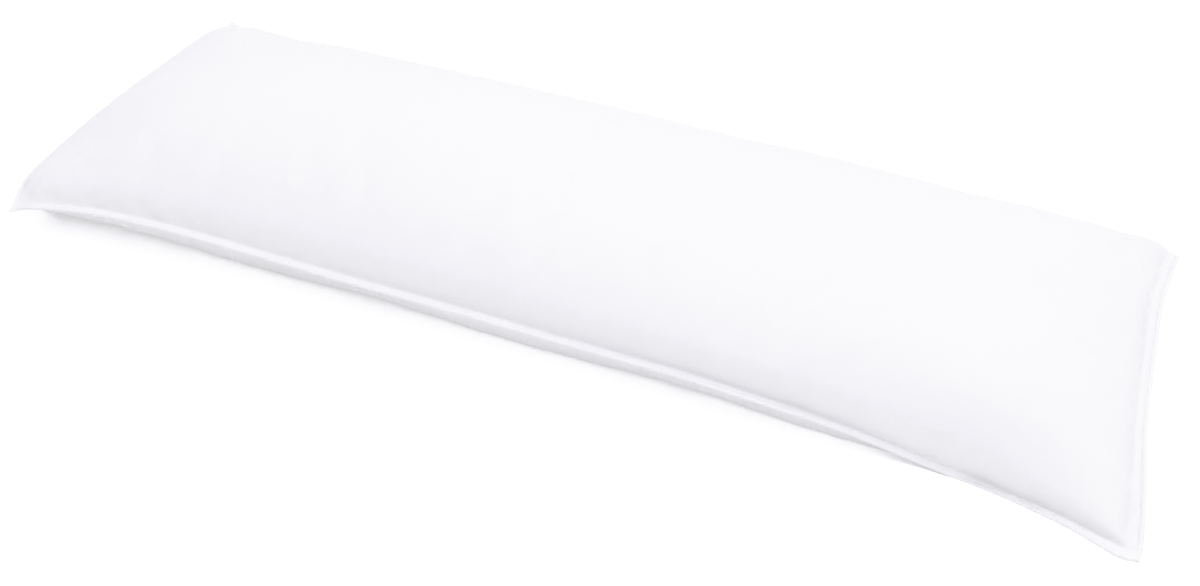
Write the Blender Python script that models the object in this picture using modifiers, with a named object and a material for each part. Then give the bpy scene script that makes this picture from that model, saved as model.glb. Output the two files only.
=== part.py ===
"""A body pillow: one long filled cloth cushion, lying on its back.

Two equal panels of cloth are sewn together all the way round and filled with
fibre.  Outside the stitching their edges stand out as a narrow flat lip.  The
filling lifts the top panel into a crown, draws the sides in between the
corners and presses the bottom panel flat on the surface below.

Units are metres.  +X runs along the length, +Y across the width, +Z up, and
the origin is the middle of the underside, on the surface.

Places on the cloth are given as shares of the half length and the half width:
along is -1 at the left end and +1 at the right end, across is -1 at the front
side and +1 at the back side.
"""

from collections import namedtuple
from math import cos, exp, pi, radians, sin

import bmesh
import bpy
from mathutils import Vector

# ---------------------------------------------------------------- driving sizes
LENGTH = 1.330            # from corner to corner, filled
WIDTH = 0.491             # from corner to corner, filled

FRONT_DRAW_IN = 0.032     # how far each edge pulls in between its corners
BACK_DRAW_IN = 0.028
LEFT_DRAW_IN = 0.012
RIGHT_DRAW_IN = 0.016
SIDE_DRAW_POWER = 3.7     # how evenly a long side pulls in: higher is flatter
END_DRAW_POWER = 1.5      # the same for a short end

FRONT_SEAM_RISE = 0.022   # how far each seam lifts between its corners
BACK_SEAM_RISE = 0.012
LEFT_SEAM_RISE = 0.017
RIGHT_SEAM_RISE = 0.012
SIDE_RISE_POWER = 3.6
END_RISE_POWER = 2.5

CROWN_RISE = 0.080        # the top panel's height over the seam, mid pillow
CROWN_SIDE_POWER = 2.4    # how flat the crown is across the width
CROWN_SIDE_ROOT = 0.57    # how steeply it leaves the seam at the sides
CROWN_END_POWER = 3.8     # the same along the length
CROWN_END_ROOT = 0.415

BELLY_DROP = 0.097        # how far the bottom panel would hang without the floor
BELLY_SIDE_POWER = 2.6
BELLY_SIDE_ROOT = 0.43
FLOOR_PRESS = 0.002       # cloth this near to the floor is pressed flat on it

LIP_WIDTH = 0.011         # the flat edge outside the filling
LIP_THICKNESS = 0.0026    # its two folded cloth edges, pressed together

# Rows of the cage, by distance from the edge: close together over the lip and
# the steep sides, wide apart over the crown.
EDGE_ROWS = (0.0055, 0.011, 0.018, 0.030, 0.048, 0.075)
LONG_ROW_SPACING = 0.050
CROSS_ROW_SPACING = 0.062
SMOOTHING_LEVELS = 1

CLOTH_COLOUR = (0.86, 0.86, 0.87)
CLOTH_ROUGHNESS = 0.85

HALF_LENGTH = LENGTH / 2
HALF_WIDTH = WIDTH / 2

# Each corner: which end and side it is on, the seam's height there, how far
# the cloth around it sits out of square, how its pointed ear is pushed, and
# how far along the cloth that push spreads.
Corner = namedtuple("Corner", "end side height shift_x shift_y ear_x ear_y ear_z reach")
CORNERS = (
    Corner(-1, -1, 0.026, -0.005, 0.002, 0.023, 0.004, -0.004, 0.045),
    Corner(-1, +1, 0.011, -0.001, -0.003, 0.005, 0.006, 0.006, 0.045),
    Corner(+1, +1, 0.015, -0.005, -0.001, 0.003, -0.006, -0.013, 0.034),
    Corner(+1, -1, 0.001, 0.000, 0.002, 0.000, -0.005, 0.000, 0.030),
)

# The front seam isn't straight: it waves up and down between the corners.
Wave = namedtuple("Wave", "height cycles start")
FRONT_SEAM_WAVES = (
    Wave(0.0018, 0.5, 0.0),
    Wave(0.0047, 1.0, 0.0),
    Wave(0.0027, 1.5, 0.5),
    Wave(0.0013, 2.0, 0.45),
)
WAVE_FADE_POWER = 4.0

# Soft hollows and swells in the filling, by place on the cloth: how high each
# stands (below zero it is a hollow), how long and wide it is, and its turn.
Lump = namedtuple("Lump", "along across height length width turn")
TOP_LUMPS = (
    Lump(-0.62, 0.15, -0.0030, 0.200, 0.120, 15),
    Lump(-0.25, -0.20, 0.0035, 0.260, 0.150, -10),
    Lump(0.12, 0.25, -0.0030, 0.220, 0.140, 20),
    Lump(0.48, -0.10, 0.0030, 0.240, 0.160, 5),
    Lump(0.94, 0.55, -0.0040, 0.080, 0.034, 40),
    Lump(0.95, 0.84, 0.0060, 0.050, 0.040, 0),
    Lump(0.94, -0.70, -0.0045, 0.080, 0.034, -38),
    Lump(-0.94, -0.62, -0.0040, 0.080, 0.036, 40),
    Lump(-0.91, 0.80, 0.0070, 0.070, 0.050, 0),
)
LUMP_START = 0.5          # the share of the crown's rise at which lumps are full
BELLY_LUMPS = (
    Lump(-0.84, -0.90, 0.0040, 0.060, 0.060, 0),
    Lump(-0.58, -0.90, -0.0050, 0.080, 0.060, 0),
    Lump(-0.31, -0.90, 0.0050, 0.070, 0.060, 0),
    Lump(-0.08, -0.90, -0.0065, 0.090, 0.060, 0),
    Lump(0.29, -0.90, 0.0050, 0.080, 0.060, 0),
    Lump(0.52, -0.90, -0.0025, 0.080, 0.060, 0),
)


# ------------------------------------------------------------------- the shape
def share_of_corner(corner, along, across):
    """How much of a corner's values a place takes: 1 at it, 0 at the others."""
    return (1 + corner.end * along) * (1 + corner.side * across) / 4


def edge_share(along, across):
    """The shares of the left, right, front and back edges at a place."""
    return (1 - along) / 2, (1 + along) / 2, (1 - across) / 2, (1 + across) / 2


def plan_place(along, across):
    """Where a place on the cloth lies, seen from above, without its ears."""
    left, right, front, back = edge_share(along, across)
    end_draw = (left * LEFT_DRAW_IN + right * RIGHT_DRAW_IN) * (1 - abs(across) ** END_DRAW_POWER)
    side_draw = (front * FRONT_DRAW_IN + back * BACK_DRAW_IN) * (1 - abs(along) ** SIDE_DRAW_POWER)
    x = along * (HALF_LENGTH - end_draw)
    y = across * (HALF_WIDTH - side_draw)
    for corner in CORNERS:
        share = share_of_corner(corner, along, across)
        x += share * corner.shift_x
        y += share * corner.shift_y
    return x, y


def front_seam_wave(along):
    """The front seam's own waviness at a place along it."""
    fade = 1 - abs(along) ** WAVE_FADE_POWER
    return fade * sum(
        wave.height * sin(2 * pi * (wave.cycles * along + wave.start)) for wave in FRONT_SEAM_WAVES
    )


def seam_height(along, across):
    """The height of the seam, carried smoothly across the whole pillow."""
    left, right, front, back = edge_share(along, across)
    height = sum(share_of_corner(corner, along, across) * corner.height for corner in CORNERS)
    side_rise = front * FRONT_SEAM_RISE + back * BACK_SEAM_RISE
    end_rise = left * LEFT_SEAM_RISE + right * RIGHT_SEAM_RISE
    height += side_rise * (1 - abs(along) ** SIDE_RISE_POWER)
    height += end_rise * (1 - abs(across) ** END_RISE_POWER)
    height += front * abs(across) ** WAVE_FADE_POWER * front_seam_wave(along)
    return height


def inside_lip(share, half_size):
    """A share of the half size, measured to the lip's inner edge instead."""
    return min(1.0, abs(share) * half_size / (half_size - LIP_WIDTH))


def swell(share, half_size, power, root):
    """A rounded rise across the filling: 0 at the lip and 1 at the middle."""
    return max(0.0, 1 - inside_lip(share, half_size) ** power) ** root


def lumps_height(lumps, along, across):
    """The height that the filling's hollows and swells add at a place."""
    total = 0.0
    for lump in lumps:
        dx = (along - lump.along) * HALF_LENGTH
        dy = (across - lump.across) * HALF_WIDTH
        turn = radians(lump.turn)
        with_lump = (dx * cos(turn) + dy * sin(turn)) / lump.length
        over_lump = (dy * cos(turn) - dx * sin(turn)) / lump.width
        total += lump.height * exp(-(with_lump**2) - over_lump**2)
    return total


def ear_push(x, y):
    """How the nearest corner's ear moves the cloth at a point of the plan."""
    push = Vector((0.0, 0.0, 0.0))
    for corner in CORNERS:
        away = (HALF_LENGTH - corner.end * x) ** 2 + (HALF_WIDTH - corner.side * y) ** 2
        nearness = exp(-away / corner.reach**2)
        push += nearness * Vector((corner.ear_x, corner.ear_y, corner.ear_z))
    return push


def cloth_point(along, across, panel):
    """The point of the top panel (panel > 0) or the bottom panel at a place."""
    x, y = plan_place(along, across)
    seam = seam_height(along, across)
    over_ends = swell(along, HALF_LENGTH, CROWN_END_POWER, CROWN_END_ROOT)
    push = ear_push(x, y)
    middle = max(LIP_THICKNESS / 2, seam + push.z)
    if panel > 0:
        rise = over_ends * swell(across, HALF_WIDTH, CROWN_SIDE_POWER, CROWN_SIDE_ROOT)
        z = middle + LIP_THICKNESS / 2 + rise * CROWN_RISE
        z += min(1.0, rise / LUMP_START) * lumps_height(TOP_LUMPS, along, across)
    else:
        drop = over_ends * swell(across, HALF_WIDTH, BELLY_SIDE_POWER, BELLY_SIDE_ROOT)
        z = middle - LIP_THICKNESS / 2 - drop * BELLY_DROP
        z += min(1.0, drop / LUMP_START) * lumps_height(BELLY_LUMPS, along, across)
        z = max(0.0, z)
    return Vector((x + push.x, y + push.y, z))


# ------------------------------------------------------------------- the build
def cage_rows(half_size, spacing):
    """Cuts across a cube from -1 to +1: close at the edges, even between."""
    edge = [1 - row / half_size for row in EDGE_ROWS]
    inner = edge[-1]
    count = round(2 * inner * half_size / spacing)
    even = [inner * (2 * step / count - 1) for step in range(1, count)]
    return [-row for row in edge] + even + edge


def cut_cube(mesh, rows, normal):
    """Cut the whole cage straight through at each row."""
    for row in rows:
        geometry = mesh.verts[:] + mesh.edges[:] + mesh.faces[:]
        bmesh.ops.bisect_plane(mesh, geom=geometry, plane_co=row * normal, plane_no=normal)


def make_white_cloth():
    """The pillow's plain matt white cloth."""
    material = bpy.data.materials.new("white_cloth")
    material.use_nodes = True
    shader = material.node_tree.nodes["Principled BSDF"]
    shader.inputs["Base Color"].default_value = (*CLOTH_COLOUR, 1.0)
    shader.inputs["Roughness"].default_value = CLOTH_ROUGHNESS
    shader.inputs["Metallic"].default_value = 0.0
    return material


def make_filled_pillow(collection):
    """The pillow: a cube cut into a cage, drawn to the cloth and smoothed."""
    cage = bmesh.new()
    bmesh.ops.create_cube(cage, size=2.0)
    cut_cube(cage, cage_rows(HALF_LENGTH, LONG_ROW_SPACING), Vector((1, 0, 0)))
    cut_cube(cage, cage_rows(HALF_WIDTH, CROSS_ROW_SPACING), Vector((0, 1, 0)))
    for vertex in cage.verts:
        vertex.co = cloth_point(vertex.co.x, vertex.co.y, vertex.co.z)
    mesh = bpy.data.meshes.new("filled_pillow")
    cage.to_mesh(mesh)
    cage.free()
    pillow = bpy.data.objects.new("filled_pillow", mesh)
    collection.objects.link(pillow)
    smooth = pillow.modifiers.new("smooth_cloth", "SUBSURF")
    smooth.levels = SMOOTHING_LEVELS
    smooth.render_levels = SMOOTHING_LEVELS
    return pillow


def keep_smoothed(pillow):
    """Make the smoothed cloth the pillow's own mesh, with its material."""
    bpy.context.view_layer.update()
    finished = pillow.evaluated_get(bpy.context.evaluated_depsgraph_get())
    pillow.data = bpy.data.meshes.new_from_object(finished)
    pillow.modifiers.clear()
    pillow.data.shade_smooth()
    pillow.data.materials.append(make_white_cloth())


def rest_on_floor(pillow):
    """Press the underside flat, and centre the pillow over the origin."""
    points = [vertex.co for vertex in pillow.data.vertices]
    middle_x = (min(point.x for point in points) + max(point.x for point in points)) / 2
    middle_y = (min(point.y for point in points) + max(point.y for point in points)) / 2
    for point in points:
        point.x -= middle_x
        point.y -= middle_y
        if point.z < FLOOR_PRESS:
            point.z = 0.0


def main():
    """Clear the file and build the pillow."""
    for old in list(bpy.data.objects):
        bpy.data.objects.remove(old, do_unlink=True)
    collection = bpy.data.collections.new("body_pillow")
    bpy.context.scene.collection.children.link(collection)
    pillow = make_filled_pillow(collection)
    keep_smoothed(pillow)
    rest_on_floor(pillow)


main()
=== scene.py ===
"""A body pillow of white cotton, in a plain studio.

Two equal panels of cloth are seamed together all the way round.  The seam
stands out past the filling as a narrow flat lip, the filling lifts the top
panel into a crown, and the closed end is edge-stitched by machine.

Units are metres.  +X runs along the length, +Y across the width, +Z up, and
the pillow rests on z = 0.  Places on the cloth are given as shares of the half
length and the half width: along is -1 at the left end and +1 at the right end,
across is -1 at the front side and +1 at the back side.
"""

import logging
import random
from dataclasses import dataclass, field
from enum import Enum
from math import cos, exp, hypot, pi, radians, sin, sqrt
from typing import TypeVar

import bmesh
import bpy
from mathutils import Matrix, Vector
from mathutils.bvhtree import BVHTree


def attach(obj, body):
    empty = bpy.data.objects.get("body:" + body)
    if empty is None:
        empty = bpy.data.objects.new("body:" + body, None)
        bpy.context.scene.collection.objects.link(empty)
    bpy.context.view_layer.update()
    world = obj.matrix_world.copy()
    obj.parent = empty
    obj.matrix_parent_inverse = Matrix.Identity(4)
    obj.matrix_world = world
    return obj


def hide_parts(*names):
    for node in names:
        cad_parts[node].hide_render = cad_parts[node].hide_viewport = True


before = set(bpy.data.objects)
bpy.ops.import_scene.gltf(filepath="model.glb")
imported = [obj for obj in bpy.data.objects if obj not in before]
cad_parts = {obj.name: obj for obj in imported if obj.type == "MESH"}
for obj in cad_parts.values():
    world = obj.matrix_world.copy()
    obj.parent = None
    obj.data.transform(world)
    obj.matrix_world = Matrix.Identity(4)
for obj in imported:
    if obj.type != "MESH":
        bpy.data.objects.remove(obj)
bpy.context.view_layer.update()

CAD_NODE = "filled_pillow"
BODY = "root"

log = logging.getLogger("body_pillow")

NODE_GAP = 220  # between a material's nodes, in the editor
MIX_LOW, MIX_HIGH, MIX_RESULT = 6, 7, 2  # a mix node's colour sockets
COMBINED_CURVE = 3  # the film curve that works on all three colours

Value = TypeVar("Value")
Node = bpy.types.Node
Socket = bpy.types.NodeSocket
Material = bpy.types.Material
PieceObject = bpy.types.Object


# --------------------------------------------------------------------- helpers
def smoothstep(value: float) -> float:
    """A soft rise from 0 to 1, level at both ends, while the value goes from 0 to 1."""
    held = min(1.0, max(0.0, value))
    return held * held * (3 - 2 * held)


def bell(distance: float, width: float) -> float:
    """A smooth hump: 1 at no distance, fading to 0 past a few widths."""
    return exp(-((distance / width) ** 2))


def mix(start: float, end: float, share: float) -> float:
    """A value between two: the start at a share of 0 and the end at a share of 1."""
    return start * (1 - share) + end * share


def swell(share: float, half_size: float, start: float, power: float, root: float) -> float:
    """A filled panel's rise: 0 as far in as its start and 1 at the middle."""
    inside = min(1.0, abs(share) * half_size / (half_size - start))
    return max(0.0, 1 - inside**power) ** root


def apply_modifier(piece: PieceObject, name: str) -> None:
    """Apply one modifier for good.

    Args:
        piece: The object that has it.
        name: The modifier's name.
    """
    bpy.ops.object.select_all(action="DESELECT")
    bpy.context.view_layer.objects.active = piece
    piece.select_set(True)
    bpy.ops.object.modifier_apply(modifier=name)
    piece.select_set(False)


def link_mesh(name: str, cage: bmesh.types.BMesh) -> PieceObject:
    """Turn a finished cage into an object in the scene.

    Args:
        name: The object's name, and its mesh's.
        cage: The cage, which is used up.

    Returns:
        The new object.
    """
    mesh = bpy.data.meshes.new(name)
    cage.to_mesh(mesh)
    cage.free()
    piece = bpy.data.objects.new(name, mesh)
    bpy.context.scene.collection.objects.link(piece)
    return piece


class Panel(Enum):
    """The two panels of cloth."""

    TOP = 1
    BOTTOM = -1


class Edge(Enum):
    """The four edges of the pillow."""

    FRONT = "front"
    BACK = "back"
    LEFT = "left"
    RIGHT = "right"


ENDS = (Edge.LEFT, Edge.RIGHT)
SIDES = (Edge.FRONT, Edge.BACK)


def by_edge(front: Value, back: Value, left: Value, right: Value) -> dict[Edge, Value]:
    """One value for each edge."""
    return {Edge.FRONT: front, Edge.BACK: back, Edge.LEFT: left, Edge.RIGHT: right}


def between(share: dict[Edge, float], values: dict[Edge, float], edges: tuple[Edge, Edge]) -> float:
    """The value between two opposite edges, by how much of each a place takes."""
    return sum(share[edge] * values[edge] for edge in edges)


# -------------------------------------------------------------------- finishes
class Recipe:
    """A material being put together from nodes."""

    def __init__(self, name: str) -> None:
        """Start a material with one plain shader.

        Args:
            name: The material's name.
        """
        self.material: Material = bpy.data.materials.new(name)
        self.material.use_nodes = True
        self.tree = self.material.node_tree
        self.shader: Node = self.tree.nodes["Principled BSDF"]
        self._column = 0

    def add(self, kind: str, **settings: object) -> Node:
        """Add one node and set its options.

        Args:
            kind: The node's type name.
            **settings: Its options, by attribute name.

        Returns:
            The new node.
        """
        node = self.tree.nodes.new(kind)
        self._column += 1
        node.location = (-NODE_GAP * self._column, 0)
        for option, value in settings.items():
            setattr(node, option, value)
        return node

    def plug(self, target: Node, socket: str | int, source: Socket | float) -> None:
        """Feed one input, from another node or with a plain number.

        Args:
            target: The node whose input is fed.
            socket: The input's name or number.
            source: An output to link, or a number to set.
        """
        if isinstance(source, bpy.types.NodeSocket):
            self.tree.links.new(source, target.inputs[socket])
        else:
            target.inputs[socket].default_value = source

    def dress(self, values: dict[str, Socket | float]) -> None:
        """Feed the shader's own inputs, by name."""
        for socket, value in values.items():
            self.plug(self.shader, socket, value)

    def calc(self, work: str, *values: Socket | float) -> Socket:
        """One step of arithmetic.

        Args:
            work: The operation, such as MULTIPLY.
            *values: Its inputs, in order.

        Returns:
            The result's socket.
        """
        node = self.add("ShaderNodeMath", operation=work)
        for number, value in enumerate(values):
            self.plug(node, number, value)
        return node.outputs[0]

    def cloth_metres(self) -> tuple[Socket, Socket, Socket]:
        """The place on the cloth, in metres.

        Returns:
            The whole vector, and its parts along and across.
        """
        place = self.add("ShaderNodeTexCoord").outputs["UV"]
        parts = self.add("ShaderNodeSeparateXYZ")
        self.plug(parts, 0, place)
        return place, parts.outputs["X"], parts.outputs["Y"]

    def noise(self, place: Socket, scale: float, detail: float = 2.0) -> Socket:
        """Soft noise, from 0 to 1.

        Args:
            place: Where on the surface it is read.
            scale: How many cells there are to a unit.
            detail: How many finer layers are added.

        Returns:
            The noise's value.
        """
        node = self.add("ShaderNodeTexNoise")
        self.plug(node, "Vector", place)
        self.plug(node, "Scale", scale)
        self.plug(node, "Detail", detail)
        return node.outputs["Fac"]

    def stretched(self, place: Socket, along: float, across: float) -> Socket:
        """A place scaled unevenly, to draw a pattern out one way.

        Args:
            place: The place before.
            along: The scale of its first part.
            across: The scale of its second part.

        Returns:
            The place after.
        """
        node = self.add("ShaderNodeMapping")
        self.plug(node, "Vector", place)
        node.inputs["Scale"].default_value = (along, across, 1.0)
        return node.outputs["Vector"]

    def two_tones(self, share: Socket, low: tuple, high: tuple) -> Socket:
        """A colour between two tones.

        Args:
            share: 0 gives the low tone, and 1 the high one.
            low: The low tone's red, green and blue.
            high: The high tone's.

        Returns:
            The colour's socket.
        """
        node = self.add("ShaderNodeMix", data_type="RGBA")
        self.plug(node, 0, share)
        node.inputs[MIX_LOW].default_value = (*low, 1.0)
        node.inputs[MIX_HIGH].default_value = (*high, 1.0)
        return node.outputs[MIX_RESULT]

    def bump(self, height: Socket, depth: float, strength: float) -> None:
        """Raise the surface's fine relief from a height.

        Args:
            height: The relief, from 0 to 1.
            depth: The size of a full step, in metres.
            strength: How much of it shows.
        """
        node = self.add("ShaderNodeBump")
        self.plug(node, "Height", height)
        self.plug(node, "Distance", depth)
        self.plug(node, "Strength", strength)
        self.tree.links.new(node.outputs["Normal"], self.shader.inputs["Normal"])


@dataclass(frozen=True)
class ClothFinish:
    """Bleached cotton in a close plain weave, soft and matt."""

    name: str = "white_cloth"
    low_tone: tuple[float, float, float] = (0.780, 0.777, 0.784)
    high_tone: tuple[float, float, float] = (0.803, 0.800, 0.805)
    roughness: float = 0.82
    sheen: float = 0.12
    sheen_roughness: float = 0.45
    thread_pitch: float = 0.00042
    weave_depth: float = 0.00006
    weave_strength: float = 0.35
    slub_length: float = 0.030
    slub_width: float = 0.0009
    slub_relief: float = 0.6
    slub_tone: float = 0.25
    tone_patch: float = 0.16
    patch_tone: float = 0.5
    shine: float = 0.25

    def make(self) -> Material:
        """Build the material.

        Returns:
            The finished cloth.
        """
        recipe = Recipe(self.name)
        place, along, across = recipe.cloth_metres()
        turns = 2 * pi / self.thread_pitch
        warp = recipe.calc("SINE", recipe.calc("MULTIPLY", along, turns))
        weft = recipe.calc("SINE", recipe.calc("MULTIPLY", across, turns))
        # the weave's -1 to 1 becomes 0 to 1
        weave = recipe.calc("MULTIPLY_ADD", recipe.calc("MULTIPLY", warp, weft), 0.5, 0.5)
        length, width = 1 / self.slub_length, 1 / self.slub_width
        slub_along = recipe.noise(recipe.stretched(place, length, width), 1.0)
        slub_across = recipe.noise(recipe.stretched(place, width, length), 1.0)
        slubs = recipe.calc("ADD", slub_along, slub_across)
        relief = recipe.calc("MULTIPLY_ADD", slubs, self.slub_relief, weave)
        patches = recipe.noise(place, 1 / self.tone_patch)
        broad = recipe.calc("MULTIPLY", patches, self.patch_tone)
        tone = recipe.calc("MULTIPLY_ADD", slubs, self.slub_tone, broad)
        colour = recipe.two_tones(tone, self.low_tone, self.high_tone)
        recipe.dress(
            {
                "Base Color": colour,
                "Roughness": self.roughness,
                "Sheen Weight": self.sheen,
                "Sheen Roughness": self.sheen_roughness,
                "Specular IOR Level": self.shine,
            }
        )
        recipe.bump(relief, self.weave_depth, self.weave_strength)
        return recipe.material


@dataclass(frozen=True)
class ThreadFinish:
    """White cotton sewing thread, with a slight twist to it."""

    name: str = "white_thread"
    low_tone: tuple[float, float, float] = (0.80, 0.80, 0.81)
    high_tone: tuple[float, float, float] = (0.88, 0.88, 0.885)
    roughness: float = 0.62
    sheen: float = 0.1
    fibre_scale: float = 2600.0
    fibre_depth: float = 0.00004
    fibre_strength: float = 0.5

    def make(self) -> Material:
        """Build the material.

        Returns:
            The finished thread.
        """
        recipe = Recipe(self.name)
        place = recipe.add("ShaderNodeTexCoord").outputs["Object"]
        fibres = recipe.noise(place, self.fibre_scale)
        colour = recipe.two_tones(fibres, self.low_tone, self.high_tone)
        recipe.dress(
            {"Base Color": colour, "Roughness": self.roughness, "Sheen Weight": self.sheen}
        )
        recipe.bump(fibres, self.fibre_depth, self.fibre_strength)
        return recipe.material


@dataclass(frozen=True)
class FloorFinish:
    """A plain pale studio floor."""

    name: str = "pale_floor"
    low_tone: tuple[float, float, float] = (0.93, 0.93, 0.93)
    high_tone: tuple[float, float, float] = (0.95, 0.95, 0.95)
    roughness: float = 0.9
    shine: float = 0.0
    patch_scale: float = 1.5
    glow: float = 0.1625
    glow_colour: tuple[float, float, float, float] = (1.0, 1.0, 1.0, 1.0)

    def make(self) -> Material:
        """Build the material.

        Returns:
            The finished floor.
        """
        recipe = Recipe(self.name)
        place = recipe.add("ShaderNodeTexCoord").outputs["Object"]
        patches = recipe.noise(place, self.patch_scale)
        recipe.dress(
            {
                "Base Color": recipe.two_tones(patches, self.low_tone, self.high_tone),
                "Roughness": self.roughness,
                "Specular IOR Level": self.shine,
                "Emission Color": self.glow_colour,
                "Emission Strength": self.glow,
            }
        )
        return recipe.material


# ------------------------------------------------------------ the pillow's form
@dataclass(frozen=True)
class Corner:
    """One corner: its seam height, how it sits out of square, its ear and its tip."""

    end: int
    side: int
    height: float
    shift: tuple[float, float]
    ear: tuple[float, float, float]
    ear_reach: float
    tip: tuple[float, float]
    tip_reach: float

    def share(self, along: float, across: float) -> float:
        """How much of this corner's values a place takes: 1 at it, 0 at the others."""
        return (1 + self.end * along) * (1 + self.side * across) / 4


@dataclass(frozen=True)
class Wave:
    """One wave in the front seam's line."""

    height: float
    cycles: float
    start: float


@dataclass(frozen=True)
class Sway:
    """A place where a seam strays from its even line."""

    share: float
    push: float
    reach: float

    def at(self, share: float, half_size: float) -> float:
        """The push at a place along a seam of this half size."""
        return self.push * bell((share - self.share) * half_size, self.reach)


def sways(reach: float, *places: tuple[float, float]) -> tuple[Sway, ...]:
    """Sways of one reach, from each one's share along the seam and its push."""
    return tuple(Sway(share, push, reach) for share, push in places)


def strayed(row: tuple[Sway, ...], share: float, half_size: float) -> float:
    """What a seam's sways add up to at a place along it."""
    return sum(sway.at(share, half_size) for sway in row)


@dataclass(frozen=True)
class Lump:
    """A soft swell in the filling, or a hollow where its height is below 0."""

    along: float
    across: float
    height: float
    length: float
    width: float
    turn: float = 0.0

    def height_at(self, from_middle_x: float, from_middle_y: float) -> float:
        """The height that the lump adds at a distance from its middle.

        Args:
            from_middle_x: The distance along the pillow.
            from_middle_y: The distance across it.

        Returns:
            The added height.
        """
        turn = radians(self.turn)
        with_lump = from_middle_x * cos(turn) + from_middle_y * sin(turn)
        over_lump = from_middle_y * cos(turn) - from_middle_x * sin(turn)
        return self.height * bell(with_lump, self.length) * bell(over_lump, self.width)


def lump_row(
    across: float, length: float, width: float, *places: tuple[float, float]
) -> tuple[Lump, ...]:
    """Lumps of one size in a row, from each one's share along and its height."""
    return tuple(Lump(along, across, height, length, width) for along, height in places)


@dataclass(frozen=True)
class Rise:
    """How the top panel rises from one edge: a flat lip, a soft crease, a crown.

    Each pair holds at the pillow's left end and at its right end, with an even
    change between them.  A run is the share of the way from left to right.
    """

    lip: tuple[float, float]
    crease: tuple[float, float]
    start: float
    power: tuple[float, float]
    root: tuple[float, float]

    def eased(self, inward: float, run: float) -> float:
        """How far the cloth has left the lip: 0 on it and 1 past the crease."""
        return smoothstep((inward - mix(*self.lip, run)) / mix(*self.crease, run))

    def crown(self, share: float, half_size: float, run: float) -> float:
        """The crown's own rise across the filling: 0 at its start and 1 at the middle."""
        return swell(share, half_size, self.start, mix(*self.power, run), mix(*self.root, run))


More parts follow.
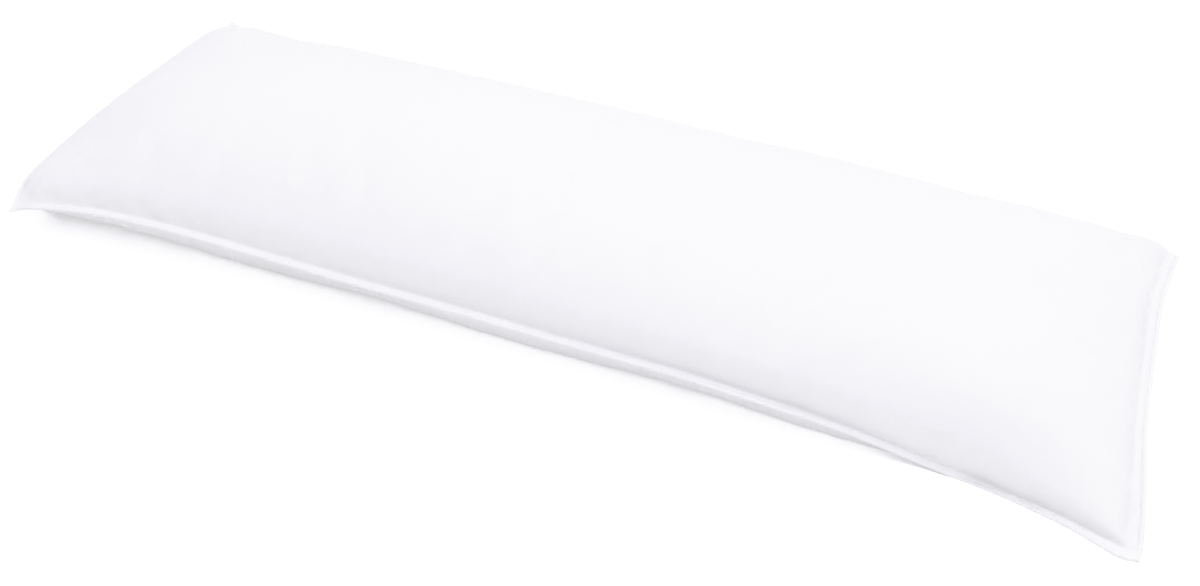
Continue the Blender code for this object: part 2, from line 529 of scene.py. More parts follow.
@dataclass
class PillowForm:
    """The filled shape that both panels follow."""

    length: float = 1.330
    width: float = 0.491
    # how far each side is drawn in, and how high its seam rises, between the corners
    draw_in: dict[Edge, float] = field(default_factory=lambda: by_edge(0.032, 0.028, 0.012, 0.016))
    side_draw_power: float = 3.7
    end_draw_power: float = 1.5
    seam_rise: dict[Edge, float] = field(
        default_factory=lambda: by_edge(0.022, 0.012, 0.017, 0.012)
    )
    side_rise_power: float = 3.6
    end_rise_power: float = 2.5
    # the top panel
    crown_rise: float = 0.080
    rises: dict[Edge, Rise] = field(
        default_factory=lambda: by_edge(
            Rise((0.0076, 0.0128), (0.0245, 0.0060), 0.011, (1.9, 1.4), (0.70, 0.25)),
            Rise((0.0060, 0.0060), (0.0140, 0.0140), 0.011, (2.4, 2.4), (0.57, 0.57)),
            Rise((0.0000, 0.0000), (0.0060, 0.0060), 0.006, (3.8, 3.8), (0.45, 0.45)),
            Rise((0.0075, 0.0070), (0.0190, 0.0170), 0.010, (6.0, 6.0), (0.90, 0.90)),
        )
    )
    corner_blend: float = 3.0
    right_lift: Sway = Sway(1.0, 0.016, 0.060)
    # the bottom panel
    belly_drop: float = 0.097
    belly_side: tuple[float, float] = (2.6, 0.43)  # its power and its root
    belly_end: tuple[float, float] = (3.8, 0.415)
    # the lip: its edge is rounded, and its cloth is pinched towards the crease
    lip_width: float = 0.011
    lip_edge: float = 0.0012
    lip_fullness: float = 0.0016
    crease_thickness: float = 0.0007
    belly_crease: tuple[float, float] = (0.0105, 0.0030)  # soft, and tight at the right
    belly_tightens: tuple[float, float] = (0.70, 0.13)  # from here, over this run
    wave_fade_power: float = 4.0
    lump_start: float = 0.5
    middle: tuple[float, float] = (0.0007, -0.0001)
    # fmt: off
    # near left, far left, far right and near right
    corners: tuple[Corner, ...] = (
        Corner(
            end=-1, side=-1, height=0.026, shift=(-0.005, 0.002), ear=(0.023, 0.004, -0.0009),
            ear_reach=0.045, tip=(0.0050, -0.0033), tip_reach=0.013,
        ),
        Corner(
            end=-1, side=1, height=0.011, shift=(-0.001, -0.003), ear=(0.005, 0.006, 0.0005),
            ear_reach=0.045, tip=(-0.0047, 0.0073), tip_reach=0.013,
        ),
        Corner(
            end=1, side=1, height=0.015, shift=(-0.005, -0.001), ear=(0.003, -0.006, -0.0044),
            ear_reach=0.034, tip=(-0.0043, -0.0165), tip_reach=0.018,
        ),
        Corner(
            end=1, side=-1, height=0.001, shift=(0.000, 0.002), ear=(0.000, -0.005, 0.0000),
            ear_reach=0.030, tip=(-0.0036, 0.0055), tip_reach=0.013,
        ),
    )
    # the front seam: its even waves, where it is lifted, and where it lies on the
    # floor, with its lip tilted a little and a dip in the crease behind it
    front_waves: tuple[Wave, ...] = (
        Wave(0.0018, 0.5, 0.0),
        Wave(0.0047, 1.0, 0.0),
        Wave(0.0027, 1.5, 0.5),
        Wave(0.0013, 2.0, 0.45),
    )
    front_lifts: tuple[Sway, ...] = sways(
        0.075,
        (-0.9300, 0.0005), (-0.7971, 0.0030), (-0.6643, 0.0026), (-0.5314, 0.0031),
        (-0.3986, 0.0052), (-0.2657, 0.0028), (-0.1329, 0.0005), (0.0000, 0.0008),
        (0.1329, 0.0018), (0.2657, 0.0004), (0.3986, -0.0025),
    )
    front_lays: tuple[Sway, ...] = sways(
        0.075, (0.5314, -0.0013), (0.6643, -0.0100), (0.7971, -0.0105), (0.9300, -0.0059)
    )
    front_tilt: Sway = Sway(0.6600, 0.0030, 0.085)
    front_dip: Sway = Sway(0.6000, -0.0020, 0.110)
    dip_inset: float = 0.0135
    dip_width: float = 0.0035
    lay_flat: float = 0.0120
    lay_run: float = 0.060
    # how the front and the right end stray sideways
    front_sways: tuple[Sway, ...] = (
        *sways(
            0.120,
            (-0.9000, 0.0017), (-0.7000, -0.0014), (-0.5000, -0.0008), (-0.3000, -0.0004),
            (0.1000, 0.0010), (0.3000, 0.0017), (0.5000, 0.0015), (0.7000, 0.0095),
            (0.9000, 0.0052),
        ),
        Sway(0.9550, -0.0055, 0.028),
        *sways(0.080, (0.4500, -0.0015), (0.6000, 0.0033), (0.7500, 0.0052), (0.9000, -0.0006)),
    )
    right_sways: tuple[Sway, ...] = sways(
        0.070,
        (-0.8000, -0.0003), (-0.4000, -0.0034), (0.0000, -0.0002), (0.4000, -0.0033),
        (0.8000, 0.0015),
    )
    end_sway_power: float = 6.0
    # how the filling lies
    top_lumps: tuple[Lump, ...] = (
        Lump(-0.62, 0.15, -0.0030, 0.200, 0.120, 15),
        Lump(-0.25, -0.20, 0.0035, 0.260, 0.150, -10),
        Lump(0.12, 0.25, -0.0030, 0.220, 0.140, 20),
        Lump(0.48, -0.10, 0.0030, 0.240, 0.160, 5),
        Lump(0.94, 0.55, -0.0040, 0.080, 0.034, 40),
        Lump(0.95, 0.84, 0.0060, 0.050, 0.040),
        Lump(0.94, -0.70, -0.0045, 0.080, 0.034, -38),
        Lump(-0.94, -0.62, -0.0040, 0.080, 0.036, 40),
        Lump(-0.91, 0.80, 0.0070, 0.070, 0.050),
        *lump_row(
            0.780, 0.070, 0.060,
            (-0.9000, 0.0045), (-0.7615, -0.0034), (-0.6231, 0.0016), (-0.4846, -0.0007),
            (0.2077, -0.0014), (0.4846, -0.0009), (0.6231, -0.0041), (0.9000, 0.0076),
        ),
        Lump(0.9550, 0.800, -0.0046, 0.060, 0.060),
        Lump(-0.9300, -0.550, -0.0080, 0.060, 0.060),
        Lump(-0.9300, -0.100, -0.0025, 0.060, 0.060),
        Lump(-0.9300, 0.350, -0.0065, 0.060, 0.060),
    )
    belly_lumps: tuple[Lump, ...] = (
        Lump(-0.84, -0.90, 0.0040, 0.060, 0.060),
        Lump(-0.58, -0.90, -0.0050, 0.080, 0.060),
        Lump(-0.31, -0.90, 0.0050, 0.070, 0.060),
        Lump(-0.08, -0.90, -0.0065, 0.090, 0.060),
        Lump(0.29, -0.90, 0.0050, 0.080, 0.060),
        Lump(0.52, -0.90, -0.0025, 0.080, 0.060),
        *lump_row(
            -0.930, 0.060, 0.045,
            (-0.9000, -0.0027), (-0.7686, 0.0016), (-0.6371, 0.0056), (-0.3743, -0.0020),
            (-0.2429, 0.0062), (-0.1114, 0.0086), (0.0200, -0.0062), (0.1514, 0.0025),
            (0.2829, 0.0045), (0.4143, 0.0064), (0.5457, -0.0092),
        ),
    )
    # fmt: on

    @property
    def half_length(self) -> float:
        """Half the length, corner to corner."""
        return self.length / 2

    @property
    def half_width(self) -> float:
        """Half the width, corner to corner."""
        return self.width / 2

    def edge_shares(self, along: float, across: float) -> dict[Edge, float]:
        """How much of each edge's values a place takes."""
        return by_edge((1 - across) / 2, (1 + across) / 2, (1 - along) / 2, (1 + along) / 2)

    def plan_place(self, along: float, across: float) -> tuple[float, float]:
        """Where a place on the cloth lies, seen from above, without its ears.

        Args:
            along: The place's share along.
            across: Its share across.

        Returns:
            Its x and y.
        """
        share = self.edge_shares(along, across)
        end_draw = between(share, self.draw_in, ENDS) * (1 - abs(across) ** self.end_draw_power)
        side_draw = between(share, self.draw_in, SIDES) * (1 - abs(along) ** self.side_draw_power)
        x = along * (self.half_length - end_draw)
        y = across * (self.half_width - side_draw)
        for corner in self.corners:
            x += corner.share(along, across) * corner.shift[0]
            y += corner.share(along, across) * corner.shift[1]
        end_share = share[Edge.RIGHT] * abs(along) ** self.end_sway_power
        front_share = share[Edge.FRONT] * abs(across) ** self.wave_fade_power
        x += end_share * strayed(self.right_sways, across, self.half_width)
        y += front_share * strayed(self.front_sways, along, self.half_length)
        return x, y

    def front_wave(self, along: float) -> float:
        """The front seam's own waviness.

        Args:
            along: The place's share along it.

        Returns:
            The height added to the seam's.
        """
        fade = 1 - abs(along) ** self.wave_fade_power
        turns = ((wave, wave.cycles * along + wave.start) for wave in self.front_waves)
        even = fade * sum(wave.height * sin(2 * pi * turn) for wave, turn in turns)
        return even + strayed(self.front_lifts, along, self.half_length)

    def front_lay(self, along: float, across: float) -> float:
        """How the front seam lies down on the floor, with its lip almost level.

        Args:
            along: The place's share along.
            across: Its share across.

        Returns:
            The height added to the seam's.
        """
        inward = (1 + across) * self.half_width
        held = 1 - smoothstep((inward - self.lay_flat) / self.lay_run)
        lay = strayed(self.front_lays, along, self.half_length)
        tilt = self.front_tilt.at(along, self.half_length)
        dip = self.front_dip.at(along, self.half_length)
        dip *= bell(inward - self.dip_inset, self.dip_width)
        return held * (lay + tilt * min(1.0, inward / self.lay_flat)) + dip

    def seam_height(self, along: float, across: float) -> float:
        """The height of the seam, carried smoothly across the whole pillow.

        Args:
            along: The place's share along.
            across: Its share across.

        Returns:
            The height over the floor.
        """
        share = self.edge_shares(along, across)
        side_fade = 1 - abs(along) ** self.side_rise_power
        end_fade = 1 - abs(across) ** self.end_rise_power
        height = sum(corner.share(along, across) * corner.height for corner in self.corners)
        height += between(share, self.seam_rise, SIDES) * side_fade
        height += between(share, self.seam_rise, ENDS) * end_fade
        height += self.right_lift.at(along, self.half_length) * end_fade
        height += share[Edge.FRONT] * abs(across) ** self.wave_fade_power * self.front_wave(along)
        return height + self.front_lay(along, across)

    def crown(self, along: float, across: float) -> float:
        """The top panel's rise over the filling.

        Args:
            along: The place's share along.
            across: Its share across.

        Returns:
            0 on the lip and 1 in the middle.
        """
        end = self.rises[Edge.LEFT if along < 0 else Edge.RIGHT]
        side = self.rises[Edge.FRONT if across < 0 else Edge.BACK]
        run = (1 + along) / 2
        inward_end = (1 - abs(along)) * self.half_length
        inward_side = (1 - abs(across)) * self.half_width
        held = (1 - end.eased(inward_end, run)) ** self.corner_blend
        held += (1 - side.eased(inward_side, run)) ** self.corner_blend
        ease = 1 - min(1.0, held ** (1 / self.corner_blend))
        rise = end.crown(along, self.half_length, run) * side.crown(across, self.half_width, run)
        return ease * rise

    def belly(self, along: float, across: float) -> float:
        """The bottom panel's drop under the filling.

        Args:
            along: The place's share along.
            across: Its share across.

        Returns:
            0 on the lip and 1 in the middle.
        """
        tight_from, tight_run = self.belly_tightens
        tight = smoothstep(((1 + along) / 2 - tight_from) / tight_run)
        crease = mix(*self.belly_crease, tight)
        drop = smoothstep((self.inward(along, across) - self.lip_width) / crease)
        drop *= swell(along, self.half_length, self.lip_width, *self.belly_end)
        drop *= swell(across, self.half_width, self.lip_width, *self.belly_side)
        return drop

    def lumps_height(self, lumps: tuple[Lump, ...], along: float, across: float) -> float:
        """The height that the filling's swells and hollows add at a place.

        Args:
            lumps: The lumps of one panel.
            along: The place's share along.
            across: Its share across.

        Returns:
            The added height.
        """
        return sum(
            lump.height_at(
                (along - lump.along) * self.half_length,
                (across - lump.across) * self.half_width,
            )
            for lump in lumps
        )

    def ear_push(self, x: float, y: float) -> Vector:
        """How the nearest corner's ear moves the cloth.

        Args:
            x: The point's place along, in plan.
            y: Its place across.

        Returns:
            The push on the point.
        """
        push = Vector((0.0, 0.0, 0.0))
        for corner in self.corners:
            away = hypot(self.half_length - corner.end * x, self.half_width - corner.side * y)
            push += bell(away, corner.ear_reach) * Vector(corner.ear)
        return push

    def tip_push(self, along: float, across: float) -> tuple[float, float]:
        """How the nearest corner's blunted tip moves the cloth, in plan.

        Args:
            along: The place's share along.
            across: Its share across.

        Returns:
            The push along and across.
        """
        push_x = push_y = 0.0
        for corner in self.corners:
            from_end = (1 - corner.end * along) * self.half_length
            from_side = (1 - corner.side * across) * self.half_width
            near = bell(hypot(from_end, from_side), corner.tip_reach)
            push_x += near * corner.tip[0]
            push_y += near * corner.tip[1]
        return push_x, push_y

    def inward(self, along: float, across: float) -> float:
        """The distance from a place to the pillow's nearest edge, over the cloth."""
        return min((1 - abs(along)) * self.half_length, (1 - abs(across)) * self.half_width)

    def lip_half_thickness(self, inward: float) -> float:
        """Half the thickness of the lip, rounded at its edge and pinched at the crease.

        Args:
            inward: The distance from the outer edge.

        Returns:
            The half thickness.
        """
        edge = min(1.0, inward / self.lip_edge)
        rounding = sqrt(1 - (1 - edge) ** 2)
        pinch = smoothstep(inward / self.lip_width)
        full = self.lip_fullness + (self.crease_thickness - self.lip_fullness) * pinch
        return full * rounding

    def cloth_point(self, along: float, across: float, panel: Panel) -> Vector:
        """The point of a panel at a place.

        Args:
            along: The place's share along.
            across: Its share across.
            panel: Which panel.

        Returns:
            The point, in the frame's own place.
        """
        x, y = self.plan_place(along, across)
        push = self.ear_push(x, y)
        inward = self.inward(along, across)
        half = self.lip_half_thickness(inward)
        middle = max(half, self.seam_height(along, across) + push.z)
        if panel is Panel.TOP:
            rise = self.crown(along, across)
            start = min(1.0, rise / self.lump_start)
            z = middle + half + rise * self.crown_rise
            z += start * self.lumps_height(self.top_lumps, along, across)
        else:
            drop = self.belly(along, across)
            start = min(1.0, drop / self.lump_start)
            z = middle - half - drop * self.belly_drop
            z += start * self.lumps_height(self.belly_lumps, along, across)
        tip_x, tip_y = self.tip_push(along, across)
        x += push.x + tip_x - self.middle[0]
        y += push.y + tip_y - self.middle[1]
        return Vector((x, y, max(0.0, z)))


# ------------------------------------------------------------------- puckers
@dataclass(frozen=True)
class Pucker:
    """One small ridge or hollow in the cloth, running in from a seam."""

    place: float
    width: float
    reach: float
    height: float
    slant: float
    spread: float = 0.6
    tail: float = 6.0
    clear: float = 0.0015
    ease: float = 0.008

    def height_at(self, place: float, inward: float) -> float:
        """The height that the pucker adds.

        Args:
            place: The distance along the seam, from its middle.
            inward: The distance in from the outer edge.

        Returns:
            The added height.
        """
        line = self.place + self.slant * inward
        width = self.width * (1 + self.spread * inward / self.reach)
        run = inward / self.reach
        start = smoothstep((inward - self.clear) / self.ease)
        fade = exp(1 - run) * exp(-(run**2) / self.tail) * start
        return self.height * bell(place - line, width) * run * fade


@dataclass
class SeamPuckers:
    """The small creases along one edge of one panel: some placed, the rest at random."""

    half_run: float
    seed: int
    height: float
    placed: tuple[Pucker, ...] = ()
    spacing: float = 0.013
    steps: tuple[float, float] = (0.55, 1.6)
    widths: tuple[float, float] = (0.003, 0.0065)
    reaches: tuple[float, float] = (0.010, 0.024)
    heights: tuple[float, float] = (0.4, 1.3)
    ways: tuple[int, ...] = (1, 1, -1)  # two ridges to each hollow
    slants: tuple[float, float] = (-0.35, 0.35)
    cell: float = 0.05

    def __post_init__(self) -> None:
        """Lay the puckers out along the seam, always in the same places."""
        draw = random.Random(self.seed)
        puckers = list(self.placed)
        place = -self.half_run
        while place < self.half_run:
            place += self.spacing * draw.uniform(*self.steps)
            puckers.append(
                Pucker(
                    place,
                    draw.uniform(*self.widths),
                    draw.uniform(*self.reaches),
                    self.height * draw.uniform(*self.heights) * draw.choice(self.ways),
                    draw.uniform(*self.slants),
                )
            )
        puckers.sort(key=lambda pucker: pucker.place)
        self.near: dict[int, list[Pucker]] = {}
        for pucker in puckers:
            home = round(pucker.place / self.cell)
            for number in (home - 1, home, home + 1):
                self.near.setdefault(number, []).append(pucker)

    def height_at(self, place: float, inward: float) -> float:
        """The height that the edge's puckers add, this far along it and in from it."""
        near = self.near.get(round(place / self.cell), ())
        return sum(pucker.height_at(place, inward) for pucker in near)


PLACED_PUCKERS: dict[tuple[Panel, Edge], tuple[Pucker, ...]] = {
    (Panel.TOP, Edge.FRONT): (
        Pucker(-0.004, 0.0040, 0.034, 0.00060, 0.00),
        Pucker(0.012, 0.0035, 0.030, -0.00050, 0.10),
        Pucker(0.030, 0.0040, 0.036, 0.00055, -0.05),
        Pucker(0.076, 0.0045, 0.040, 0.00060, 0.00),
        Pucker(0.094, 0.0035, 0.032, -0.00055, 0.12),
        Pucker(0.114, 0.0045, 0.038, 0.00050, 0.00),
        Pucker(0.498, 0.0090, 0.009, -0.00130, 1.10),
        Pucker(0.532, 0.0040, 0.010, 0.00080, 0.90),
        Pucker(0.586, 0.0030, 0.009, 0.00110, 0.80),
    ),
    (Panel.TOP, Edge.RIGHT): (
        Pucker(0.214, 0.0040, 0.010, 0.00110, 0.20),
        Pucker(0.200, 0.0050, 0.014, -0.00200, 0.10),
        Pucker(0.186, 0.0032, 0.010, 0.00120, -0.10),
        Pucker(0.173, 0.0030, 0.009, -0.00080, 0.00),
        Pucker(0.161, 0.0034, 0.010, 0.00110, 0.10),
        Pucker(0.140, 0.0050, 0.016, -0.00090, 0.30),
        Pucker(0.120, 0.0040, 0.012, 0.00060, 0.00),
        Pucker(-0.196, 0.0022, 0.022, 0.00080, 0.60),
        Pucker(-0.203, 0.0022, 0.022, -0.00070, 0.60),
    ),
    (Panel.TOP, Edge.LEFT): (
        Pucker(-0.214, 0.0060, 0.012, -0.00260, 0.15),
        Pucker(-0.186, 0.0070, 0.016, 0.00070, 0.00),
    ),
}


@dataclass(frozen=True)
class StitchedGroove:
    """The line that the closing seam draws into the lip, with a soft ridge beside it."""

    inset: float = 0.0055
    depth: float = 0.00095
    width: float = 0.0011
    ridge: float = 0.0098
    ridge_height: float = 0.00060
    ridge_width: float = 0.0022
    hollow: float = 0.0220
    hollow_depth: float = 0.00015
    hollow_width: float = 0.0050

    def height_at(self, inward: float) -> float:
        """The height that the seam adds.

        Args:
            inward: The distance in from the outer edge.

        Returns:
            The added height, below 0 in the groove.
        """
        height = self.ridge_height * bell(inward - self.ridge, self.ridge_width)
        height -= self.depth * bell(inward - self.inset, self.width)
        return height - self.hollow_depth * bell(inward - self.hollow, self.hollow_width)


# -------------------------------------------------------------------- filling
@dataclass(frozen=True)
class ClothSettling:
    """The filling's push on the cloth, which gathers a little where it is sewn."""

    pressure: float = 4.0
    looseness: float = 0.014
    frames: int = 20
    quality: int = 4
    mass: float = 0.15
    stretch_stiffness: float = 18.0
    shear_stiffness: float = 6.0
    bending_stiffness: float = 0.12
    damping: float = 6.0
    held_until: float = 0.010
    free_from: float = 0.020
    floor_hold: float = 0.0006
    smoothing_rounds: int = 26
    kept_share: float = 0.75
    most: float = 0.0014

    def hold(self, inward: float, height: float) -> float:
        """How firmly a place is held by the seam, or by the floor.

        Args:
            inward: Its distance from the outer edge.
            height: Its height over the floor.

        Returns:
            1 where it can't move and 0 where it is free.
        """
        if height < self.floor_hold:
            return 1.0
        return 1 - smoothstep((inward - self.held_until) / (self.free_from - self.held_until))

    def run(self, cloth: PieceObject, holds: list[float]) -> None:
        """Simulate the cloth and leave the result in its mesh.

        Args:
            cloth: The cloth, which is changed.
            holds: How firmly each vertex is held.
        """
        group = cloth.vertex_groups.new(name="held")
        for number, hold in enumerate(holds):
            group.add([number], hold, "REPLACE")
        settling = cloth.modifiers.new("settling", "CLOTH")
        how = settling.settings
        how.quality = self.quality
        how.mass = self.mass
        how.tension_stiffness = how.compression_stiffness = self.stretch_stiffness
        how.shear_stiffness = self.shear_stiffness
        how.bending_stiffness = self.bending_stiffness
        how.tension_damping = how.compression_damping = how.shear_damping = self.damping
        how.use_pressure = True
        how.uniform_pressure_force = self.pressure
        how.shrink_min = -self.looseness
        how.vertex_group_mass = group.name
        how.effector_weights.gravity = 0.0
        settling.collision_settings.use_collision = False
        settling.point_cache.frame_start = 1
        settling.point_cache.frame_end = self.frames
        for step in range(1, self.frames + 1):
            bpy.context.scene.frame_set(step)
        apply_modifier(cloth, settling.name)
        cloth.vertex_groups.remove(cloth.vertex_groups[group.name])
        bpy.context.scene.frame_set(1)

    def settle(self, cloth: PieceObject, inwards: list[float]) -> None:
        """Give the cloth its small gathers and leave its large form alone.

        Args:
            cloth: The cloth, which is changed.
            inwards: Each vertex's distance from the outer edge.
        """
        vertices = cloth.data.vertices
        before = [vertex.co.copy() for vertex in vertices]
        normals = [vertex.normal.copy() for vertex in vertices]
        holds = [self.hold(inward, point.z) for inward, point in zip(inwards, before)]
        self.run(cloth, holds)
        moved = [(v.co - b).dot(n) for v, b, n in zip(vertices, before, normals)]
        beside: list[list[int]] = [[] for _ in vertices]
        for edge in cloth.data.edges:
            first, second = edge.vertices
            beside[first].append(second)
            beside[second].append(first)
        broad = list(moved)
        for _ in range(self.smoothing_rounds):
            broad = [
                (height + sum(broad[other] for other in near) / len(near)) / 2
                for height, near in zip(broad, beside)
            ]
        for number, vertex in enumerate(vertices):
            fine = (moved[number] - broad[number]) * self.kept_share * (1 - holds[number])
            fine = max(-self.most, min(self.most, fine))
            vertex.co = before[number] + normals[number] * fine
            vertex.co.z = max(0.0, vertex.co.z)


# --------------------------------------------------------------------- pieces
@dataclass
class FilledPillow:
    """The filled cloth: two panels, joined at the rim of the lip."""

    form: PillowForm
    finish: ClothFinish
    edge_rows: tuple[float, ...] = (
        0.0004, 0.0012, 0.0025, 0.0043, 0.0055, 0.0067, 0.0085, 0.0100, 0.0112, 0.0124,
        0.0138, 0.0156, 0.0182, 0.0220, 0.0275, 0.0350, 0.0440, 0.0550, 0.0690,
    )  # fmt: skip
    long_spacing: float = 0.0095
    cross_spacing: float = 0.0110
    uv_gap: float = 0.60
    pucker_reach: float = 0.10
    pucker_heights: dict[Panel, float] = field(
        default_factory=lambda: {Panel.TOP: 0.00034, Panel.BOTTOM: 0.00012}
    )
    pucker_seeds: dict[Panel, int] = field(
        default_factory=lambda: {Panel.TOP: 3, Panel.BOTTOM: 7}
    )
    seed_step: int = 11
    settling: ClothSettling = ClothSettling()
    groove: StitchedGroove = StitchedGroove()
    groove_fade: float = 0.030

    def rows(self, half_size: float, spacing: float) -> list[float]:
        """Where the cloth is divided, from -1 to +1.

        Args:
            half_size: The half length or the half width.
            spacing: The distance between divisions in the middle.

        Returns:
            The divisions as shares: close at the edges, even between.
        """
        edge = [1 - row / half_size for row in self.edge_rows]
        inner = edge[-1]
        count = round(2 * inner * half_size / spacing)
        even = [inner * (2 * step / count - 1) for step in range(1, count)]
        return [-1.0] + [-row for row in edge] + even + edge[::-1] + [1.0]

    def lay_panels(self) -> PieceObject:
        """Make both panels as one closed mesh, with the cloth's own UV map.

        Returns:
            The new object.
        """
        columns = self.rows(self.form.half_length, self.long_spacing)
        rows = self.rows(self.form.half_width, self.cross_spacing)
        last = (len(columns) - 1, len(rows) - 1)
        cage = bmesh.new()
        uv_map = cage.loops.layers.uv.new("cloth")
        rim: dict[tuple[int, int], bmesh.types.BMVert] = {}
        for panel in Panel:
            grid: dict[tuple[int, int], bmesh.types.BMVert] = {}
            for i, along in enumerate(columns):
                for j, across in enumerate(rows):
                    on_rim = i in (0, last[0]) or j in (0, last[1])
                    if on_rim and (i, j) in rim:
                        grid[i, j] = rim[i, j]
                        continue
                    grid[i, j] = cage.verts.new(self.form.cloth_point(along, across, panel))
                    if on_rim:
                        rim[i, j] = grid[i, j]
            for i in range(last[0]):
                for j in range(last[1]):
                    around = [(i, j), (i + 1, j), (i + 1, j + 1), (i, j + 1)]
                    if panel is Panel.BOTTOM:
                        around.reverse()
                    face = cage.faces.new([grid[corner] for corner in around])
                    face.smooth = True
                    for loop, (column, row) in zip(face.loops, around):
                        u = columns[column] * self.form.half_length
                        v = rows[row] * self.form.half_width
                        loop[uv_map].uv = (u, v if panel is Panel.TOP else v - self.uv_gap)
        return link_mesh("pillow_cloth", cage)

    def smooth_once(self, pillow: PieceObject) -> None:
        """Round the cloth with one subdivision, applied.

        Args:
            pillow: The laid panels.
        """
        rounding = pillow.modifiers.new("round_cloth", "SUBSURF")
        rounding.levels = rounding.render_levels = 1
        rounding.uv_smooth = "NONE"
        apply_modifier(pillow, rounding.name)

    def places(self, pillow: PieceObject) -> list[tuple[float, float, Panel]]:
        """Each vertex's place on the cloth.

        Args:
            pillow: The cloth, with its UV map.

        Returns:
            Along and across in metres from the middle, and the panel.
        """
        count = len(pillow.data.vertices)
        found: list[tuple[float, float, Panel]] = [(0.0, 0.0, Panel.TOP)] * count
        uv_map = pillow.data.uv_layers["cloth"].uv
        boundary = -self.uv_gap / 2
        for loop in pillow.data.loops:
            u, v = uv_map[loop.index].vector
            if v > boundary:
                found[loop.vertex_index] = (u, v, Panel.TOP)
            else:
                found[loop.vertex_index] = (u, v + self.uv_gap, Panel.BOTTOM)
        return found

    def pucker(self, pillow: PieceObject) -> None:
        """Press the small seam creases into the cloth.

        Args:
            pillow: The rounded cloth.
        """
        half_length, half_width = self.form.half_length, self.form.half_width
        sewn = {
            (panel, edge): SeamPuckers(
                half_length if edge in SIDES else half_width,
                self.seed_step * number + self.pucker_seeds[panel],
                self.pucker_heights[panel],
                PLACED_PUCKERS.get((panel, edge), ()),
            )
            for panel in Panel
            for number, edge in enumerate(Edge)
        }
        heights: list[float] = []
        for u, v, panel in self.places(pillow):
            reaches = by_edge(
                (u, half_width + v), (u, half_width - v), (v, half_length + u), (v, half_length - u)
            )
            height = sum(
                sewn[panel, edge].height_at(place, inward)
                for edge, (place, inward) in reaches.items()
                if inward < self.pucker_reach
            )
            from_side = min(reaches[Edge.FRONT][1], reaches[Edge.BACK][1])
            stitched = smoothstep(from_side / self.groove_fade)
            heights.append(height + stitched * self.groove.height_at(reaches[Edge.RIGHT][1]))
        normals = [vertex.normal.copy() for vertex in pillow.data.vertices]
        for vertex, normal, height in zip(pillow.data.vertices, normals, heights):
            vertex.co += normal * height
            vertex.co.z = max(0.0, vertex.co.z)

    def build(self) -> PieceObject:
        """Make the finished cloth and dress it.

        Returns:
            The pillow's cloth.
        """
        pillow = self.lay_panels()
        inwards = [
            self.form.inward(u / self.form.half_length, v / self.form.half_width)
            for u, v, _ in self.places(pillow)
        ]
        self.settling.settle(pillow, inwards)
        self.smooth_once(pillow)
        self.pucker(pillow)
        pillow.data.materials.clear()
        pillow.data.materials.append(self.finish.make())
        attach(pillow, BODY)
        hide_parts(CAD_NODE)
        return pillow


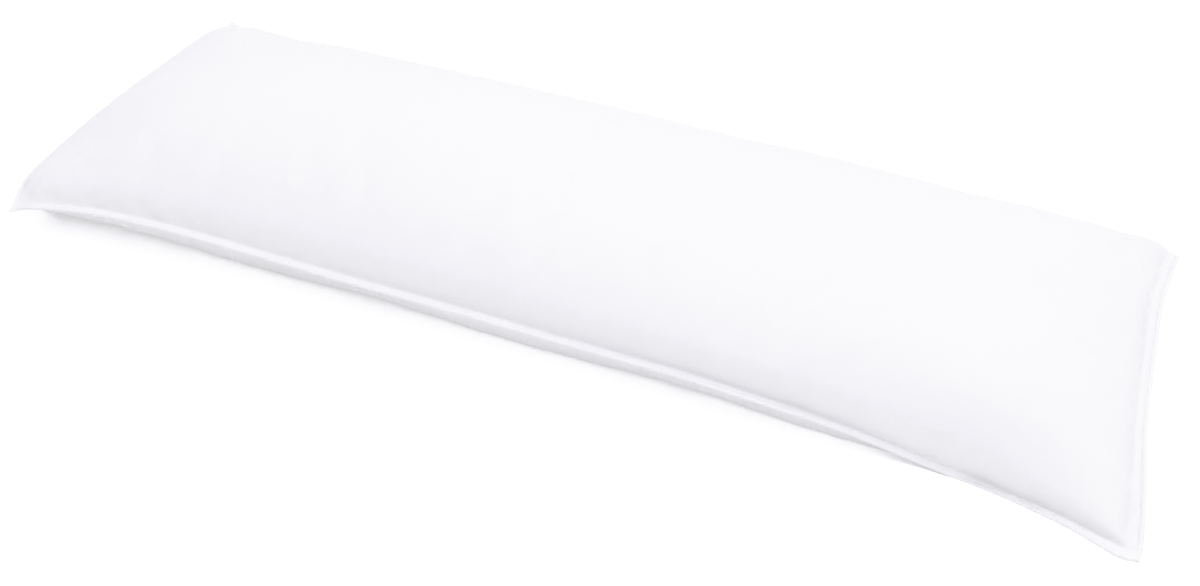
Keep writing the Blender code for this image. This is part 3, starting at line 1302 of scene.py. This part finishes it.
@dataclass
class ClosingStitching:
    """The row of machine stitches that closes the right end, on both sides of the lip."""

    form: PillowForm
    finish: ThreadFinish
    cloth: PieceObject
    inset: float = StitchedGroove.inset
    pitch: float = 0.0034
    length: float = 0.0027
    straight: float = 0.5
    # each end's steps: their reach along, their drop and their size after it
    end_steps: tuple[tuple[float, float, float], ...] = ((0.17, 0.35, 0.85), (0.08, 0.65, 0.45))
    end_facing: float = 0.9
    thickness: float = 0.00046
    sides: int = 8
    dip: float = 0.00030
    end_gap: float = 0.012
    stand_out: float = 0.00006

    def model_stitch(self) -> PieceObject:
        """Model one stitch: a short thread whose two ends dip into the cloth.

        Returns:
            The stitch, along X, with its back to -Z.
        """
        bpy.ops.object.select_all(action="DESELECT")
        bpy.ops.mesh.primitive_cylinder_add(
            vertices=self.sides,
            radius=self.thickness / 2,
            depth=self.length * self.straight,
            rotation=(0, pi / 2, 0),
        )
        stitch = bpy.context.object
        stitch.name = "stitch"
        bpy.ops.object.transform_apply(location=False, rotation=True, scale=False)
        for end in (-1, 1):
            bpy.ops.object.mode_set(mode="EDIT")
            bpy.ops.mesh.select_mode(type="FACE")
            bpy.ops.mesh.select_all(action="DESELECT")
            cage = bmesh.from_edit_mesh(stitch.data)
            for face in cage.faces:
                face.select = face.normal.x * end > self.end_facing
            bmesh.update_edit_mesh(stitch.data)
            for reach, drop, size in self.end_steps:
                step = (end * reach * self.length, 0.0, -drop * self.dip)
                bpy.ops.mesh.extrude_region_move(TRANSFORM_OT_translate={"value": step})
                bpy.ops.transform.resize(value=(1.0, size, size))
            bpy.ops.object.mode_set(mode="OBJECT")
        bpy.ops.object.shade_smooth()
        stitch.select_set(False)
        return stitch

    def rests(self) -> list[Matrix]:
        """Where each stitch lies on the finished cloth.

        Returns:
            A place and turn for each stitch.
        """
        mesh = self.cloth.data
        points = [vertex.co.copy() for vertex in mesh.vertices]
        surface = BVHTree.FromPolygons(points, [tuple(face.vertices) for face in mesh.polygons])
        half_width = self.form.half_width
        along = 1 - self.inset / self.form.half_length
        count = int((2 * half_width - 2 * self.end_gap) / self.pitch)
        found: list[Matrix] = []
        for panel in Panel:
            for number in range(count + 1):
                across = (-half_width + self.end_gap + number * self.pitch) / half_width
                step = self.length / 2 / half_width
                ends = [self.form.cloth_point(along, across + way * step, panel) for way in (-1, 1)]
                place, normal, _, _ = surface.find_nearest((ends[0] + ends[1]) / 2)
                run = (ends[1] - ends[0]).normalized()
                run = (run - normal * run.dot(normal)).normalized()
                turn = Matrix((run, normal.cross(run), normal)).transposed().to_4x4()
                found.append(Matrix.Translation(place + normal * self.stand_out) @ turn)
        return found

    def build(self) -> PieceObject:
        """Lay a copy of the stitch at each place and join the row.

        Returns:
            The stitching.
        """
        stitch = self.model_stitch()
        row = bmesh.new()
        for rest in self.rests():
            copy = stitch.data.copy()
            copy.transform(rest)
            row.from_mesh(copy)
            bpy.data.meshes.remove(copy)
        for vertex in row.verts:
            vertex.co.z = max(0.0, vertex.co.z)
        bpy.data.objects.remove(stitch)
        stitching = link_mesh("closing_stitching", row)
        stitching.data.materials.append(self.finish.make())
        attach(stitching, BODY)
        return stitching


# --------------------------------------------------------------------- studio
@dataclass(frozen=True)
class Lamp:
    """One soft lamp, which faces the pillow."""

    name: str
    power: float
    place: tuple[float, float, float]
    size: tuple[float, float] = (2.4, 1.6)

    def hang(self, colour: tuple[float, float, float]) -> None:
        """Hang the lamp.

        Args:
            colour: The colour of its light.
        """
        light = bpy.data.lights.new(self.name, "AREA")
        light.shape = "RECTANGLE"
        light.size, light.size_y = self.size
        light.energy = self.power
        light.color = colour
        lamp = bpy.data.objects.new(self.name, light)
        lamp.location = self.place
        lamp.rotation_euler = (-Vector(self.place)).to_track_quat("-Z", "Y").to_euler()
        bpy.context.scene.collection.objects.link(lamp)


@dataclass
class Studio:
    """The floor, the soft light and the camera."""

    finish: FloorFinish
    floor_size: float = 190.0
    sky: float = 0.736
    sky_colour: tuple[float, float, float] = (0.996, 0.987, 1.022)
    lamp_colour: tuple[float, float, float] = (0.9936, 1.0066, 0.9916)
    lamps: tuple[Lamp, ...] = (
        Lamp("top_lamp", 28.2, (0.35, 0.55, 3.0), (3.2, 2.4)),
        Lamp("back_lamp", 9.1, (0.0, 2.6, 1.8)),
        Lamp("front_lamp", 15.0, (0.4, -2.6, 1.8)),
        Lamp("left_lamp", 13.2, (-2.8, 0.0, 1.8)),
        Lamp("right_lamp", 11.0, (2.8, 0.0, 1.8)),
    )
    # the light that comes in, and the tone that it gives
    film_curve: tuple[tuple[float, float], ...] = (
        (0.0, 0.0),
        (0.40, 0.355),
        (0.72, 0.640),
        (0.799, 0.709),
        (0.843, 0.784),
        (0.888, 0.862),
        (0.932, 0.944),
        (0.977, 0.983),
        (1.022, 1.0),
    )
    lens: float = 39.59
    sensor: float = 36.0
    # where the camera stands, and its own right, down and forward directions
    eye: tuple[float, float, float] = (0.4765, -1.1256, 1.0010)
    right: tuple[float, float, float] = (0.92595, 0.37762, 0.00303)
    down: tuple[float, float, float] = (0.25284, -0.61399, -0.74772)
    ahead: tuple[float, float, float] = (-0.28049, 0.69312, -0.66401)

    def lay_floor(self) -> PieceObject:
        """Lay the floor under the pillow.

        Returns:
            The floor.
        """
        bpy.ops.object.select_all(action="DESELECT")
        bpy.ops.mesh.primitive_plane_add(size=self.floor_size, location=(0, 0, 0))
        floor = bpy.context.object
        floor.name = "studio_floor"
        floor.data.materials.append(self.finish.make())
        floor.select_set(False)
        return floor

    def hang_lamps(self) -> None:
        """Hang the soft lamps, and fill in from all round."""
        for lamp in self.lamps:
            lamp.hang(self.lamp_colour)
        world = bpy.data.worlds.new("studio")
        world.use_nodes = True
        sky = world.node_tree.nodes["Background"]
        sky.inputs["Color"].default_value = (*self.sky_colour, 1.0)
        sky.inputs["Strength"].default_value = self.sky
        bpy.context.scene.world = world

    def set_camera(self) -> None:
        """Stand the camera in front of the pillow, a little to its right."""
        camera = bpy.data.cameras.new("camera")
        camera.lens = self.lens
        camera.sensor_width = self.sensor
        stand = bpy.data.objects.new("camera", camera)
        columns = (Vector(self.right), -Vector(self.down), -Vector(self.ahead))
        turn = Matrix(columns).transposed().to_4x4()
        stand.matrix_world = Matrix.Translation(self.eye) @ turn
        bpy.context.scene.collection.objects.link(stand)
        bpy.context.scene.camera = stand

    def expose(self) -> None:
        """Expose for bright white goods, and ease off the highlights."""
        film = bpy.context.scene.view_settings
        film.view_transform = "Standard"
        film.use_curve_mapping = True
        film.curve_mapping.white_level = (self.film_curve[-1][0],) * 3
        curve = film.curve_mapping.curves[COMBINED_CURVE]
        for light, tone in self.film_curve[1:-1]:
            curve.points.new(light / self.film_curve[-1][0], tone)
        film.curve_mapping.update()

    def build(self) -> None:
        """Set the whole studio up."""
        self.lay_floor()
        self.hang_lamps()
        self.set_camera()
        self.expose()


# ----------------------------------------------------------------------- main
def report(piece: PieceObject) -> None:
    """Log one finished piece and how many triangles it has."""
    count = sum(len(face.vertices) - 2 for face in piece.data.polygons)
    log.info("%s: %d triangles", piece.name, count)


def main() -> None:
    """Build the pillow and the studio, in order."""
    logging.basicConfig(level=logging.INFO, format="%(name)s: %(message)s")
    Studio(FloorFinish()).build()
    form = PillowForm()
    cloth = FilledPillow(form, ClothFinish()).build()
    report(cloth)
    report(ClosingStitching(form, ThreadFinish(), cloth).build())


if __name__ == "__main__":
    main()
